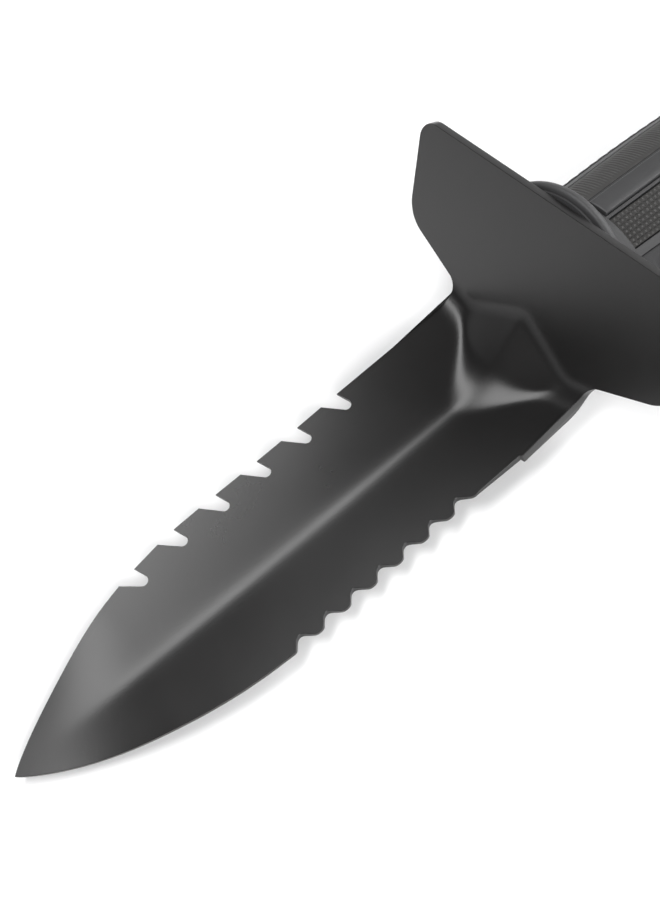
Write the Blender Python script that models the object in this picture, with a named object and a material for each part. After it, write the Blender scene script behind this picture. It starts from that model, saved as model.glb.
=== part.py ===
"""Detecting shovel: a pressed digging blade with a hand guard, on a two-part grip around a welded tang.

Metres, +Z up. The blade's tip points along -Y and the butt along +Y. The tool lies as it would on a
table, on the underside of the blade's crease and on a flat under the butt.
"""

import math

import bmesh
import bpy
from mathutils import Matrix, Vector

MM = 0.001
GAP = 0.3 * MM

# --- the pressed plate ---
PLATE = 3.0 * MM            # sheet thickness
GROUND = 1.0 * MM           # thickness left at the ground edge
GRIND = 8.0 * MM            # width of the ground band
GRIND_END = 163.0 * MM      # where the grinding stops, measured from the tip
HALF_WIDTH = 27.6 * MM      # over the tooth points
OGIVE = 84.0 * MM           # length of the curved tip
SAW_SIDE_WIDTH = 27.3 * MM  # half width behind the saw teeth
STEP_WIDTH = 27.8 * MM      # half width behind the wave teeth, where the grinding stops
BLANK_WIDTH = 28.5 * MM     # half width of the unground plate behind it
NECK_WIDTH = 27.6 * MM      # half width where the blade meets the guard
BEND = 185.5 * MM           # tip to the bend, on the crease
VEE_BLADE = 0.170           # slope of each half of the blade, along the teeth
VEE_NECK = 0.271            # the same slope at the bend
CREASE_SOFT = 2.2 * MM      # rounding of the crease
TIP_LIFT = 1.2 * MM         # how far the point is turned up
LIFT_LENGTH = 100.0 * MM

# --- the dart that stiffens the bend ---
DART_REACH = 13.5 * MM      # along the blade, on the centre line
DART_RISE = 19.0 * MM       # up the guard, on the centre line
DART_SPREAD = 1.15          # half width gained per unit of reach
DART_SHOULDER = 0.78        # rise lost per unit of half width
DART_TOE = 9.0 * MM         # how round the foot is, seen from above
DART_FOOT = 8.0 * MM        # extra rounding at the foot, on the centre line
DART_HALF = 17.0 * MM       # half width over which that rounding fades
BEND_SETBACK = 3.6 * MM     # outside the dart
BEND_SOFT = 3.2 * MM

# --- the guard, in its own plane: across, and up from the bend line ---
LEAN = math.radians(22.6)   # the guard leans back from vertical
GUARD_TOP = 55.6 * MM
GUARD_TOP_HALF = 54.7 * MM
GUARD_LOW_HALF = 52.2 * MM
GUARD_LOW = 23.4 * MM
GUARD_NECK = 11.9 * MM

# --- teeth ---
SAW_COUNT = 6
SAW_PITCH = 16.1 * MM
SAW_LAST = 139.8 * MM       # the rearmost tooth point
SAW_MOUTH = 6.4 * MM
SAW_FLOOR = 1.75 * MM       # radius of the gullet's round end
SAW_DEPTH = 6.05 * MM
WAVE_COUNT = 7
WAVE_PITCH = 9.7 * MM
WAVE_LAST = 137.6 * MM
WAVE_DEPTH = 3.9 * MM

# --- the grip ---
DROOP = math.atan(0.11)     # the grip falls towards the butt
GRIP_Y = 203.0 * MM         # where its axis crosses the guard, from the tip
GRIP_Z = 25.3 * MM          # and over the crease
GRIP_A = 21.3 * MM          # half width
GRIP_B = 15.0 * MM          # half height
GRIP_END = 101.0 * MM       # rear end of the two grip halves
BUTT_END = 118.0 * MM
COLLAR_RADIUS = 27.8 * MM
COLLAR_UP = 30.4 * MM       # its centre, up the guard from the bend
COLLAR_CHORD = 5.0 * MM     # how much of its lower edge is cut off flat
COLLAR = 3.0 * MM           # thickness
GASKET = 0.8 * MM
TANG_HALF = 9.0 * MM
TANG = 5.0 * MM
STUD = 3.0 * MM             # radius of the tang's rear stud
SCREW_AT = (34.0 * MM, 56.0 * MM, 78.0 * MM)
LANYARD_AT = 90.5 * MM
LANYARD_BORE = 4.5 * MM
LANYARD_TUBE = 5.6 * MM

TIP_Y = -161.0 * MM         # puts the origin under the middle of the tool


# ===== small helpers =====
def clear_scene():
    for obj in list(bpy.data.objects):
        bpy.data.objects.remove(obj, do_unlink=True)


def material(name, colour, roughness, metallic):
    mat = bpy.data.materials.new(name)
    mat.use_nodes = True
    shader = mat.node_tree.nodes["Principled BSDF"]
    shader.inputs["Base Color"].default_value = (*colour, 1.0)
    shader.inputs["Roughness"].default_value = roughness
    shader.inputs["Metallic"].default_value = metallic
    return mat


def empty(name, matrix):
    obj = bpy.data.objects.new(name, None)
    bpy.context.scene.collection.objects.link(obj)
    obj.matrix_world = matrix
    return obj


def finish(name, bm, mat, parent=None):
    """Turns a bmesh into a named object whose faces point out."""
    bmesh.ops.recalc_face_normals(bm, faces=bm.faces)
    mesh = bpy.data.meshes.new(name)
    bm.to_mesh(mesh)
    bm.free()
    obj = bpy.data.objects.new(name, mesh)
    bpy.context.scene.collection.objects.link(obj)
    obj.parent = parent
    if mat:
        mesh.materials.append(mat)
    return obj


def tool(name, bm, parent=None):
    """A cutter: it shapes other pieces and isn't one itself."""
    obj = finish("cut_" + name, bm, None, parent)
    obj.hide_render = True
    obj.display_type = "WIRE"
    return obj


def cut(target, cutter, operation="DIFFERENCE"):
    modifier = target.modifiers.new(cutter.name, "BOOLEAN")
    modifier.object = cutter
    modifier.operation = operation
    modifier.solver = "EXACT"


def trim(bm, point, normal):
    """Removes what lies beyond a plane and closes the cut."""
    geom = bm.verts[:] + bm.edges[:] + bm.faces[:]
    made = bmesh.ops.bisect_plane(
        bm, geom=geom, plane_co=point, plane_no=normal, clear_outer=True
    )
    edges = [g for g in made["geom_cut"] if isinstance(g, bmesh.types.BMEdge)]
    bmesh.ops.contextual_create(bm, geom=edges)


def box_bm(low, high):
    bm = bmesh.new()
    bmesh.ops.create_cube(bm, size=1.0)
    low, high = Vector(low), Vector(high)
    size = high - low
    bmesh.ops.scale(bm, verts=bm.verts, vec=size)
    bmesh.ops.translate(bm, verts=bm.verts, vec=(low + high) / 2)
    return bm


def rod_bm(radius, start, end, segments=24, scale=(1, 1)):
    """A straight round rod between two points."""
    start, end = Vector(start), Vector(end)
    bm = bmesh.new()
    bmesh.ops.create_cone(
        bm, cap_ends=True, segments=segments, radius1=radius, radius2=radius,
        depth=(end - start).length,
    )
    bmesh.ops.scale(bm, verts=bm.verts, vec=(scale[0], scale[1], 1))
    turn = Vector((0, 0, 1)).rotation_difference(end - start).to_matrix()
    bmesh.ops.rotate(bm, verts=bm.verts, matrix=turn)
    bmesh.ops.translate(bm, verts=bm.verts, vec=(start + end) / 2)
    return bm


def thicken(bm):
    """Gives a flat sheet at height 0 a second face at height -1."""
    made = bmesh.ops.extrude_face_region(bm, geom=bm.faces[:])
    low = [g for g in made["geom"] if isinstance(g, bmesh.types.BMVert)]
    bmesh.ops.translate(bm, verts=low, vec=(0, 0, -1))


# ===== the plate: its outline while flat =====
def ogive(s):
    return HALF_WIDTH * (1 - (1 - s / OGIVE) ** 2) ** 0.9


def edge_at(s):
    """Half width of the ground blade at a distance from the tip."""
    if s < OGIVE:
        return ogive(s)
    if s < SAW_LAST:
        return HALF_WIDTH
    return HALF_WIDTH + (STEP_WIDTH - HALF_WIDTH) * min(1, (s - SAW_LAST) / (GRIND_END - SAW_LAST))


def tip_curve(end, steps=14):
    """The curved edge from the point up to a distance from it."""
    rows = [end * ((i + 0.45) / (steps + 0.45)) ** 1.35 for i in range(steps)]
    return [(ogive(s), s) for s in rows]


def gullet(point):
    """A hooked gullet in front of a tooth point: ramp in, round floor, undercut tooth face."""
    side = edge_at(point)
    path = [(edge_at(point - SAW_MOUTH), point - SAW_MOUTH)]
    centre = (side - SAW_DEPTH + SAW_FLOOR, point - 0.2 * MM)
    for degrees in (135, 105, 75, 45, 15, -15):
        angle = math.radians(degrees)
        sideways = centre[0] - SAW_FLOOR * math.sin(angle)
        path.append((sideways, centre[1] + SAW_FLOOR * math.cos(angle)))
    return path + [(side, point)]


def saw_side():
    first = SAW_LAST - (SAW_COUNT - 1) * SAW_PITCH
    path = tip_curve(first - SAW_MOUTH)
    for k in range(SAW_COUNT):
        path += gullet(first + k * SAW_PITCH)
    return path + [(SAW_SIDE_WIDTH, GRIND_END)]


def wave(point):
    """One rounded notch behind a wave's crest: a steep wall in, a longer one out."""
    profile = (
        (0.05, 0.10), (0.16, 0.50), (0.28, 0.90), (0.40, 1.00), (0.51, 0.86), (0.66, 0.42), (0.80, 0.08)
    )
    outer = HALF_WIDTH + 0.3 * MM
    return [(outer - WAVE_DEPTH * deep, point + WAVE_PITCH * along) for along, deep in profile]


def wave_side():
    first = WAVE_LAST - (WAVE_COUNT - 1) * WAVE_PITCH
    path = tip_curve(first - 0.6 * MM) + [(HALF_WIDTH, first - 0.4 * MM)]
    for k in range(WAVE_COUNT):
        path += wave(first + k * WAVE_PITCH)
    return path + [(STEP_WIDTH, GRIND_END), (BLANK_WIDTH, GRIND_END + 0.5 * MM)]


def rounded(corners, steps=5):
    """Corner points (across, along, radius) as a path whose corners are arcs."""
    path = []
    for i, (x, y, radius) in enumerate(corners):
        if radius == 0:
            path.append((x, y))
            continue
        here = Vector((x, y))
        back = (Vector(corners[i - 1][:2]) - here).normalized()
        on = (Vector(corners[(i + 1) % len(corners)][:2]) - here).normalized()
        half = back.angle(on) / 2
        reach = radius / math.tan(half)
        centre = here + (back + on).normalized() * (radius / math.sin(half))
        start, end = here + back * reach - centre, here + on * reach - centre
        for j in range(steps + 1):
            arm = start.lerp(end, j / steps).normalized() * radius
            path.append(tuple(centre + arm))
    return path


def flat_from_guard(across, up):
    """Where a point of the guard lies on the flat blank."""
    base = bend_height(across)
    return (across, BEND + base * math.sin(LEAN) + up - base)


def guard_side():
    """Half of the guard's outline, from the neck round to the middle of its straight top."""
    neck = flat_from_guard(NECK_WIDTH, GUARD_NECK)
    low = flat_from_guard(GUARD_LOW_HALF, GUARD_LOW)
    top = flat_from_guard(GUARD_TOP_HALF, GUARD_TOP)
    start = (NECK_WIDTH, GRIND_END + 1 * MM, 0)
    corners = [start, (*neck, 5.5 * MM), (*low, 11 * MM), (*top, 5.5 * MM), (0, top[1], 0)]
    middle = [flat_from_guard(x * MM, GUARD_TOP) for x in (30, 24, 18, 12, 8, 5, 2.5)]
    return rounded(corners)[1:-1] + middle


def outline():
    guard = guard_side()
    left = saw_side() + guard
    right = wave_side() + guard
    top = flat_from_guard(0, GUARD_TOP)
    return [(0, 0)] + right + [top] + [(-x, y) for x, y in reversed(left)]


# ===== the plate: pressing it to shape =====
def soft_ramp(x, soft):
    """0 below, x above, and a smooth turn of half width soft between."""
    if x <= -soft:
        return 0.0
    if x >= soft:
        return x
    return (x + soft) ** 2 / (4 * soft)


def soft_abs(x, soft):
    return math.hypot(x, soft) - soft


def smooth(x):
    x = min(1.0, max(0.0, x))
    return x * x * (3 - 2 * x)


def vee_slope(s):
    """Slope of the blade's halves: flat at the point, then steady, then steeper to the bend."""
    tip = smooth((s - 10 * MM) / (36 * MM))
    neck = smooth((s - 105 * MM) / (BEND - 105 * MM))
    return VEE_BLADE * tip + (VEE_NECK - VEE_BLADE) * neck


def bend_height(across):
    """How far up the guard's plane the bend lies, because the blade is a vee there."""
    return VEE_NECK * soft_abs(min(abs(across), 30 * MM), CREASE_SOFT) / math.cos(LEAN)


def dart_setbacks(across):
    """Start and end of the bend, before and after its line: wide on the centre line."""
    reach = DART_REACH - soft_abs(across, DART_TOE) / DART_SPREAD
    rise = DART_RISE - soft_abs(across, 1.2 * MM) * DART_SHOULDER
    return (
        BEND_SETBACK + soft_ramp(reach - BEND_SETBACK, 2 * MM),
        BEND_SETBACK + soft_ramp(rise - BEND_SETBACK, 2 * MM),
    )


def upper_face(across, s):
    """The pressed plate's upper face."""
    line = BEND + bend_height(across) * math.sin(LEAN)
    on_blade = min(s, line)
    height = vee_slope(on_blade) * soft_abs(min(abs(across), 30 * MM), CREASE_SOFT)
    lift = TIP_LIFT * (1 - smooth(s / LIFT_LENGTH))
    before, after = dart_setbacks(across)
    along = s - line
    guard = Vector((math.sin(LEAN), math.cos(LEAN)))
    chord = (guard * after + Vector((before, 0))) / (before + after)
    foot = BEND_SOFT + DART_FOOT * (1 - smooth(abs(across) / DART_HALF))
    turn = (chord - Vector((1, 0))) * soft_ramp(along + before, foot)
    turn += (guard - chord) * soft_ramp(along - after, BEND_SOFT)
    return Vector((across, line + along + turn.x, height + lift + turn.y))


def thickness(across, s):
    if s > GRIND_END:
        return PLATE
    ground = (abs(across) - edge_at(s) + GRIND) / GRIND
    return PLATE - (PLATE - GROUND) * min(1.0, max(0.0, ground))


def press(vert):
    across, s, layer = vert.co
    step = 0.2 * MM
    du = upper_face(across + step, s) - upper_face(across - step, s)
    ds = upper_face(across, s + step) - upper_face(across, s - step)
    normal = du.cross(ds).normalized()
    vert.co = upper_face(across, s) + normal * (layer * thickness(across, s))


def grid_lines():
    """Lines across and along the blank, closer together where the press bends it."""
    half = [1.5, 4, 7.5, 11.5, 15.5, 19.7, 24, 30, 37, 45, 53, 64]
    across = [-x for x in reversed(half)] + [0] + half
    along = [-2, 2] + [6 + 7 * i for i in range(21)] + [152.5 + 2.6 * i for i in range(24)] + [225, 250]
    return [x * MM for x in across], [s * MM for s in along]


def blank_slab():
    """A flat slab, one unit thick, whose faces carry the grid lines."""
    across, along = grid_lines()
    bm = bmesh.new()
    bmesh.ops.create_grid(bm, x_segments=len(across) - 1, y_segments=len(along) - 1, size=1.0)
    for vert in bm.verts:
        column = round((vert.co.x + 1) / 2 * (len(across) - 1))
        row = round((vert.co.y + 1) / 2 * (len(along) - 1))
        vert.co = Vector((across[column], along[row], 0))
    thicken(bm)
    return bm


def blank_outline():
    """The outline as a prism that is taller than the slab."""
    bm = bmesh.new()
    bm.faces.new([bm.verts.new((x, y, 1)) for x, y in outline()])
    made = bmesh.ops.extrude_face_region(bm, geom=bm.faces[:])
    low = [g for g in made["geom"] if isinstance(g, bmesh.types.BMVert)]
    bmesh.ops.translate(bm, verts=low, vec=(0, 0, -3))
    return bm


def cut_blank():
    """The slab cut to the outline, as a bmesh."""
    slab = finish("blank", blank_slab(), None)
    prism = tool("outline", blank_outline())
    cut(slab, prism, "INTERSECT")
    graph = bpy.context.evaluated_depsgraph_get()
    bm = bmesh.new()
    bm.from_object(slab, graph)
    bpy.data.objects.remove(slab, do_unlink=True)
    bpy.data.objects.remove(prism, do_unlink=True)
    return bm


def blade_and_guard(mat):
    bm = cut_blank()
    for vert in bm.verts:
        press(vert)
    bmesh.ops.translate(bm, verts=bm.verts, vec=(0, TIP_Y, PLATE))
    return finish("blade_and_guard", bm, mat)


# ===== frames that the other pieces hang on =====
def guard_frame():
    """X across, Y up the guard, -Z out of its back."""
    turn = Matrix.Rotation(math.pi / 2 - LEAN, 4, "X")
    return Matrix.Translation((0, TIP_Y + BEND, PLATE)) @ turn


def grip_frame():
    """X across, Y along the grip towards the butt."""
    place = Matrix.Translation((0, TIP_Y + GRIP_Y, PLATE + GRIP_Z))
    return place @ Matrix.Rotation(-DROOP, 4, "X")


def behind_guard(offset):
    """A plane behind the guard's front face, in the grip's frame: a point and the way forward."""
    move = grip_frame().inverted() @ guard_frame()
    return move @ Vector((0, 0, -offset)), move.to_3x3() @ Vector((0, 0, 1))


# ===== the tang and its welds =====
def tang(mat, grip):
    bm = box_bm((-TANG_HALF, -30 * MM, -TANG / 2), (TANG_HALF, 99 * MM, TANG / 2))
    trim(bm, *behind_guard(PLATE + GAP))
    obj = finish("tang", bm, mat, grip)
    cut(obj, tool("tang_stud", rod_bm(STUD, (0, 95 * MM, 0), (0, BUTT_END - 2 * MM, 0)), grip), "UNION")
    for k, y in enumerate(SCREW_AT):
        cut(obj, tool(f"tang_hole_{k}", rod_bm(2.1 * MM, (0, y, -9 * MM), (0, y, 9 * MM)), grip))
    hole = rod_bm(LANYARD_TUBE + GAP, (0, LANYARD_AT, -9 * MM), (0, LANYARD_AT, 9 * MM), 32)
    cut(obj, tool("tang_lanyard_hole", hole, grip))
    return obj


def weld_bead(name, side, mat, grip):
    """A fillet of weld along one face of the tang, against the guard's back."""
    face = side * (TANG / 2 + GAP)
    low, high = sorted((face, face + side * 3.5 * MM))
    bm = box_bm((-TANG_HALF + 1 * MM, -30 * MM, low), (TANG_HALF - 1 * MM, 30 * MM, high))
    point, forward = behind_guard(PLATE + GAP)
    trim(bm, point, forward)
    heel = point - forward * 3.6 * MM
    heel.z = face
    heel.y = point.y - (face - point.z) * forward.z / forward.y + 3.6 * MM
    trim(bm, heel, Vector((0, 1, side * 1.1)))
    return finish(name, bm, mat, grip)


# ===== collar and gasket =====
def disc_behind_guard(name, radius, front, back, mat, guard):
    """A round plate behind the guard with a flat lower edge and a window for the tang and its welds."""
    bm = rod_bm(radius, (0, COLLAR_UP, -back), (0, COLLAR_UP, -front), 96)
    trim(bm, Vector((0, COLLAR_UP - COLLAR_RADIUS + COLLAR_CHORD, 0)), Vector((0, -1, 0)))
    obj = finish(name, bm, mat, guard)
    middle = guard_frame().inverted() @ (grip_frame() @ Vector((0, 4 * MM, 1 * MM)))
    low = (-10.2 * MM, middle.y - 12 * MM, -30 * MM)
    high = (10.2 * MM, middle.y + 9 * MM, 5 * MM)
    cut(obj, tool(name + "_window", box_bm(low, high), guard))
    return obj


def collar(mats, guard):
    front = PLATE + GAP
    inner = COLLAR_RADIUS - 1.6 * MM
    disc_behind_guard("collar_gasket", inner, front, front + GASKET, mats["soft"], guard)
    front += GASKET + GAP
    obj = disc_behind_guard("collar_flange", COLLAR_RADIUS, front, front + COLLAR, mats["cap"], guard)
    bevel = obj.modifiers.new("edge", "BEVEL")
    bevel.width = 1.1 * MM
    bevel.segments = 3
    bevel.limit_method = "ANGLE"
    bevel.angle_limit = math.radians(60)
    return obj


# ===== the grip =====
def swell(y):
    """The grip's size along its length: a waist behind the collar, a palm swell, a waist at the butt."""
    return 1 + 0.035 * math.sin((y - 20 * MM) / (42 * MM) * math.pi / 1.6) - 0.01


def skin(angle, y, lift=0.0):
    """A point of the grip's surface. The angle runs from the crown towards +X."""
    size = swell(y)
    return Vector((
        (GRIP_A * size + lift) * math.sin(angle), y, (GRIP_B * size + lift) * math.cos(angle)
    ))


def loft(stations, segments=56):
    """A closed body through oval rings (y, half width, half height)."""
    bm = bmesh.new()
    made = bmesh.ops.create_circle(bm, segments=segments, radius=1.0, cap_ends=True)
    ring = made["verts"]
    shape = [v.co.copy() for v in ring]
    face = bm.faces[:]
    for k, (y, a, b) in enumerate(stations):
        if k:
            made = bmesh.ops.extrude_face_region(bm, geom=face)
            old, face = face, [g for g in made["geom"] if isinstance(g, bmesh.types.BMFace)]
            ring = [v for v in made["geom"] if isinstance(v, bmesh.types.BMVert)]
            if k > 1:
                bmesh.ops.delete(bm, geom=old, context="FACES_ONLY")
        for vert in ring:
            angle = math.atan2(vert.co.x, vert.co.z if k else vert.co.y)
            vert.co = Vector((a * math.sin(angle), y, b * math.cos(angle)))
    return bm


def tile(angle0, angle1, y0, y1, low, high, columns=7, rows=12):
    """A curved tile that follows the grip's skin between two angles and two stations."""
    bm = bmesh.new()
    bmesh.ops.create_grid(bm, x_segments=columns, y_segments=rows, size=1.0)
    thicken(bm)
    for vert in bm.verts:
        angle = angle0 + (angle1 - angle0) * (vert.co.x + 1) / 2
        y = y0 + (y1 - y0) * (vert.co.y + 1) / 2
        vert.co = skin(angle, y, high if vert.co.z > -0.5 else low)
    return bm


TILES = {
    # name: start and end angle in degrees, start and end along the grip, depth below and height over the skin
    "spine_bar_upper": (-8.5, 8.5, 17.5, 82, -1.6, 1.1),
    "grip_panel_upper_left": (-45, -13, 17.5, 82, -1.8, -0.2),
    "grip_panel_upper_right": (13, 45, 17.5, 82, -1.8, -0.2),
    "side_grip_left": (-123, -55, 17.5, 82, -1.8, 0.3),
    "side_grip_right": (55, 123, 17.5, 82, -1.8, 0.3),
    "spine_bar_lower": (161, 199, 17.5, 82, -1.6, 0.9),
    "grip_panel_lower_right": (132, 155, 17.5, 82, -1.8, -0.2),
    "grip_panel_lower_left": (-155, -132, 17.5, 82, -1.8, -0.2),
}


def tile_of(name, margin=0.0, over=None):
    angle0, angle1, y0, y1, low, high = TILES[name]
    turn = margin / GRIP_A
    bottom = low * MM - margin
    top = high * MM if over is None else over
    return tile(
        math.radians(angle0) - turn, math.radians(angle1) + turn, y0 * MM - margin, y1 * MM + margin,
        bottom, top,
    )


def grip_half(name, side, mat, grip, pockets):
    """One half of the grip, split level with the tang, with pockets for everything let into it."""
    stations = []
    for k in range(15):
        y = -14 * MM + (GRIP_END + 14 * MM) * k / 14
        size = swell(y)
        stations.append((y, GRIP_A * size, GRIP_B * size))
    bm = loft(stations)
    trim(bm, Vector((0, 0, side * GAP / 2)), Vector((0, 0, -side)))
    trim(bm, *behind_guard(PLATE + GASKET + COLLAR + 3 * GAP))
    obj = finish(name, bm, mat, grip)
    for cutter in pockets:
        cut(obj, cutter)
    return obj


def shared_pockets(grip):
    """What is cut from both halves."""
    channel = box_bm(
        (-TANG_HALF - GAP, -40 * MM, -TANG / 2 - GAP), (TANG_HALF + GAP, 99 * MM + GAP, TANG / 2 + GAP)
    )
    weld_room = box_bm((-TANG_HALF - GAP, -40 * MM, -7 * MM), (TANG_HALF + GAP, 12 * MM, 7 * MM))
    stud = rod_bm(STUD + GAP, (0, 90 * MM, 0), (0, 120 * MM, 0))
    lanyard = rod_bm(LANYARD_TUBE + GAP, (0, LANYARD_AT, -30 * MM), (0, LANYARD_AT, 30 * MM), 32)
    return [
        tool("channel", channel, grip), tool("weld_room", weld_room, grip),
        tool("stud_room", stud, grip), tool("lanyard_room", lanyard, grip),
    ]


def pocket(name, grip):
    return tool(name + "_pocket", tile_of(name, GAP, 6 * MM), grip)


def grip_halves(mat, grip):
    shared = shared_pockets(grip)
    rooms = {name: pocket(name, grip) for name in TILES}
    sides = [rooms["side_grip_left"], rooms["side_grip_right"]]
    upper = shared + sides + [rooms[n] for n in TILES if "upper" in n]
    lower = shared + sides + [rooms[n] for n in TILES if "lower" in n]
    for k, y in enumerate(SCREW_AT):
        nut = rod_bm(3.2 * MM + GAP, (0, y, -1 * MM), (0, y, 9.6 * MM))
        upper.append(tool(f"insert_room_{k}", nut, grip))
        shank = rod_bm(2.1 * MM, (0, y, -30 * MM), (0, y, 1 * MM))
        lower.append(tool(f"shank_room_{k}", shank, grip))
        head = rod_bm(3.0 * MM + GAP, (0, y, -30 * MM), (0, y, -9.4 * MM))
        lower.append(tool(f"head_room_{k}", head, grip))
    grip_half("grip_half_upper", 1, mat, grip, upper)
    grip_half("grip_half_lower", -1, mat, grip, lower)


def grip_tiles(mats, grip):
    for name in TILES:
        mat = mats["bar"] if "bar" in name else mats["soft"] if "side" in name else mats["panel"]
        obj = finish(name, tile_of(name), mat, grip)
        if name != "spine_bar_lower":
            continue
        for k, y in enumerate(SCREW_AT):
            hole = rod_bm(3.0 * MM + GAP, (0, y, -30 * MM), (0, y, -9 * MM))
            cut(obj, tool(f"bar_hole_{k}", hole, grip))


# ===== screws, lanyard tube, butt =====
def screws(steel, brass, grip):
    for k, y in enumerate(SCREW_AT):
        bm = rod_bm(3.0 * MM, (0, y, -12.6 * MM), (0, y, -9.7 * MM))
        obj = finish(f"grip_screw_{k + 1}", bm, steel, grip)
        shank = tool(f"shank_{k}", rod_bm(1.7 * MM, (0, y, -10.5 * MM), (0, y, 8.0 * MM)), grip)
        cut(obj, shank, "UNION")
        socket = tool(f"socket_{k}", rod_bm(1.5 * MM, (0, y, -14 * MM), (0, y, -11 * MM), 6), grip)
        cut(obj, socket)
        barrel = rod_bm(3.2 * MM, (0, y, 3.4 * MM), (0, y, 9.3 * MM))
        sleeve = finish(f"screw_insert_{k + 1}", barrel, brass, grip)
        bore = tool(f"insert_bore_{k}", rod_bm(2.0 * MM, (0, y, 2 * MM), (0, y, 12 * MM)), grip)
        cut(sleeve, bore)


def lanyard_tube(mat, grip):
    bm = rod_bm(LANYARD_TUBE, (0, LANYARD_AT, -14.9 * MM), (0, LANYARD_AT, 14.9 * MM), 32)
    obj = finish("lanyard_tube", bm, mat, grip)
    bore = rod_bm(LANYARD_BORE, (0, LANYARD_AT, -20 * MM), (0, LANYARD_AT, 20 * MM), 32)
    cut(obj, tool("lanyard_bore", bore, grip))


def butt(mats, grip):
    size = swell(GRIP_END)
    a, b = GRIP_A * size, GRIP_B * size
    start = GRIP_END + GAP
    spacer = loft([(start, a + 0.6 * MM, b + 0.6 * MM), (start + 2 * MM, a + 0.6 * MM, b + 0.6 * MM)])
    spacer = finish("butt_spacer", spacer, mats["soft"], grip)
    start += 2 * MM + GAP
    rings = [
        (start, a + 0.6 * MM, b + 0.6 * MM), (start + 3 * MM, a + 2.4 * MM, b + 2.6 * MM),
        (start + 9 * MM, a + 2.4 * MM, b + 2.6 * MM), (BUTT_END - 2.5 * MM, a + 1.4 * MM, b + 1.6 * MM),
        (BUTT_END - 0.7 * MM, a - 0.4 * MM, b - 0.2 * MM), (BUTT_END, a - 2.0 * MM, b - 1.8 * MM),
    ]
    cap = finish("butt_cap", loft(rings), mats["cap"], grip)
    for obj in (spacer, cap):
        hole = rod_bm(STUD + GAP, (0, 90 * MM, 0), (0, 130 * MM, 0))
        cut(obj, tool(obj.name + "_hole", hole, grip))
    seat = rod_bm(7.8 * MM, (0, BUTT_END - 6 * MM, 0), (0, BUTT_END + 9 * MM, 0), 32)
    cut(cap, tool("butt_seat", seat, grip))
    ground = box_bm((-0.05, -0.1, -0.05), (0.05, 0.3, 0.0))
    for obj in (spacer, cap):
        cut(obj, tool(obj.name + "_ground", ground.copy()))
    ground.free()
    ring = rod_bm(6.8 * MM, (0, BUTT_END - 5.7 * MM, 0), (0, BUTT_END - 4.5 * MM, 0), 32)
    washer = finish("stud_washer", ring, mats["steel"], grip)
    hexagon = rod_bm(5.77 * MM, (0, BUTT_END - 4.2 * MM, 0), (0, BUTT_END - 0.8 * MM, 0), 6)
    nut = finish("stud_nut", hexagon, mats["steel"], grip)
    for obj in (washer, nut):
        hole = rod_bm(STUD + GAP, (0, 90 * MM, 0), (0, 130 * MM, 0))
        cut(obj, tool(obj.name + "_hole", hole, grip))


def main():
    clear_scene()
    black = material("black_coating", (0.035, 0.035, 0.037), 0.42, 0.3)
    mats = {
        "steel": material("bright_steel", (0.55, 0.55, 0.56), 0.35, 1.0),
        "soft": material("soft_rubber", (0.03, 0.03, 0.03), 0.8, 0.0),
        "panel": material("checkered_rubber", (0.025, 0.025, 0.025), 0.75, 0.0),
        "bar": material("smooth_bar", (0.045, 0.045, 0.047), 0.45, 0.0),
        "cap": material("butt_plastic", (0.04, 0.04, 0.042), 0.5, 0.0),
    }
    core = material("grip_plastic", (0.05, 0.05, 0.052), 0.55, 0.0)
    brass = material("insert_brass", (0.6, 0.45, 0.2), 0.4, 1.0)
    weld = material("weld", (0.12, 0.12, 0.12), 0.6, 0.8)
    grip = empty("grip_axis", grip_frame())
    guard = empty("guard_plane", guard_frame())
    blade_and_guard(black)
    tang(mats["steel"], grip)
    weld_bead("weld_bead_upper", 1, weld, grip)
    weld_bead("weld_bead_lower", -1, weld, grip)
    collar(mats, guard)
    grip_halves(core, grip)
    grip_tiles(mats, grip)
    screws(mats["steel"], brass, grip)
    lanyard_tube(mats["steel"], grip)
    butt(mats, grip)


main()
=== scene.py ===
# %% [markdown]
# # A detecting shovel
# The tool is one pressed steel plate, blade and guard together, with a grip clamped on a tang
# behind it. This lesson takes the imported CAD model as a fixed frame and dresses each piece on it: a
# finer mesh where the CAD solid is plain, and a finish of its own for every material.

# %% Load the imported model
import math

import bmesh
import bpy
from mathutils import Matrix, Vector


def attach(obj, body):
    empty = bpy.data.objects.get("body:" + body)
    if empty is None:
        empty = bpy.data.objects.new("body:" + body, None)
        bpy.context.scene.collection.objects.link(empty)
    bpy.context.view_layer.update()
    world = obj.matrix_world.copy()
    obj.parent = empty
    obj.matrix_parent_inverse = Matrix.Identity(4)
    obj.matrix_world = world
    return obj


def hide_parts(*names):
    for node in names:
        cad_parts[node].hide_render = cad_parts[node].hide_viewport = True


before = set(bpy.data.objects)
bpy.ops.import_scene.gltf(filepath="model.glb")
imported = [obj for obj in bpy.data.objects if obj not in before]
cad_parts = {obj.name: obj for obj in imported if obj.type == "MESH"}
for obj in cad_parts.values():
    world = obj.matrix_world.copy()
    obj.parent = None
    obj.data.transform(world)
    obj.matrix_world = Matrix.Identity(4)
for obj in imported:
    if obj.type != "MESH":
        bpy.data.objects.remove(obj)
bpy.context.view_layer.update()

MM = 0.001
print("packed nodes:", len(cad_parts))

# %% [markdown]
# ## The camera
# The camera stands a hand's breadth over the blade, to its right, and looks down at it. A short
# distance gives the strong taper from the guard to the point. The camera's own roll lays the blade
# across the frame from corner to corner. `to_track_quat` turns Z away from the tool, and a turn
# about that same axis adds the roll.

# %% Camera
AIM = Vector((-16.8, -34.1, 3.0)) * MM
AZIMUTH = math.radians(70.16)
ELEVATION = math.radians(58.78)
ROLL = math.radians(-22.39)
DISTANCE = 302.4 * MM

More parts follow.
